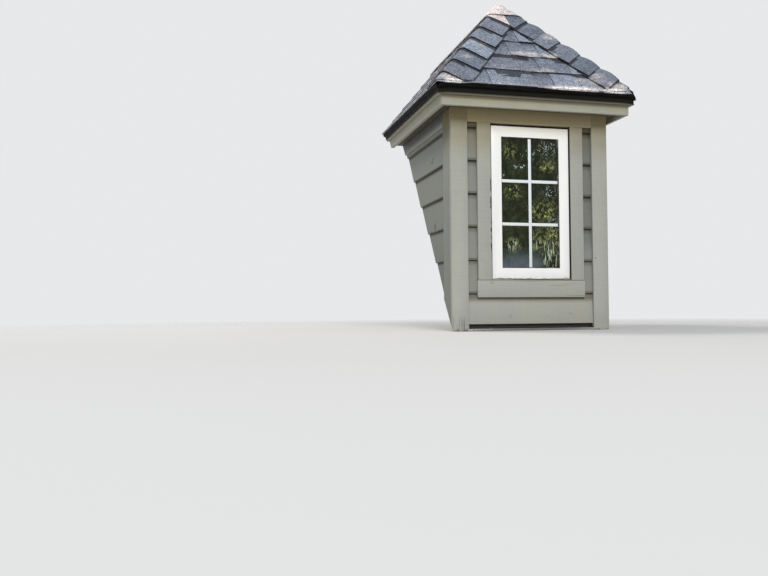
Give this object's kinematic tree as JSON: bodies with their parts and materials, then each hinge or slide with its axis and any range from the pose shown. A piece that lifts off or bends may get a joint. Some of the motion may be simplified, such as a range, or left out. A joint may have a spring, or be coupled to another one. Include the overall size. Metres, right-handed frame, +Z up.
{
  "type": "dormer window",
  "caption": "Hip-roofed dormer window with lap-sided cheeks, corner boards, a divided white window, black drip edge and shingled roof, cut to sit on a steep main roof.",
  "frame": {"origin": "middle of the bevelled underside of the front sill, on the plane of the main roof's deck that the dormer sits on", "axes": "+X to the right seen from the front, +Y back into the main roof, +Z up"},
  "size_m": [1.14, 1.7281, 1.9202],
  "materials": {
    "painted_trim": "satin grey-green paint on rough-sawn boards",
    "painted_siding": "satin grey-green paint on lapped boards",
    "window_white": "white extruded frame, satin",
    "window_glass": "clear sealed glass over a dark attic",
    "drip_metal": "black baked enamel sheet",
    "asphalt_shingles": "mineral granules, slate blue blend",
    "framing_lumber": "planed softwood, unfinished",
    "sheathing_board": "strand board, unfinished"
  },
  "bodies": {
    "root": {"front_sill": "framing_lumber", "sole_plates": "framing_lumber", "corner_studs": "framing_lumber", "king_studs": "framing_lumber", "jack_studs": "framing_lumber", "window_header": "framing_lumber", "rough_sill": "framing_lumber", "sill_cripples": "framing_lumber", "cheek_studs": "framing_lumber", "front_top_plate": "framing_lumber", "cheek_top_plates": "framing_lumber", "ridge_board": "framing_lumber", "left_hip_rafter": "framing_lumber", "right_hip_rafter": "framing_lumber", "front_rafters": "framing_lumber", "side_rafters": "framing_lumber", "valley_boards": "framing_lumber", "front_sheathing": "sheathing_board", "cheek_sheathing": "sheathing_board", "front_roof_deck": "sheathing_board", "side_roof_decks": "sheathing_board", "front_corner_boards": "painted_trim", "side_corner_boards": "painted_trim", "head_board": "painted_trim", "side_casings": "painted_trim", "apron_board": "painted_trim", "cheek_friezes": "painted_trim", "bottom_siding": "painted_siding", "siding_strips": "painted_siding", "cheek_siding": "painted_siding", "front_fascia": "painted_trim", "side_fascias": "painted_trim", "front_soffit": "painted_trim", "side_soffits": "painted_trim", "front_eave_strip": "painted_trim", "side_eave_strips": "painted_trim", "front_drip_edge": "drip_metal", "side_drip_edges": "drip_metal", "window_frame": "window_white", "window_glass": "window_glass", "front_shingles": "asphalt_shingles", "side_shingles": "asphalt_shingles", "left_hip_cap": "asphalt_shingles", "right_hip_cap": "asphalt_shingles", "ridge_cap": "asphalt_shingles"}
  },
  "joints": []
}
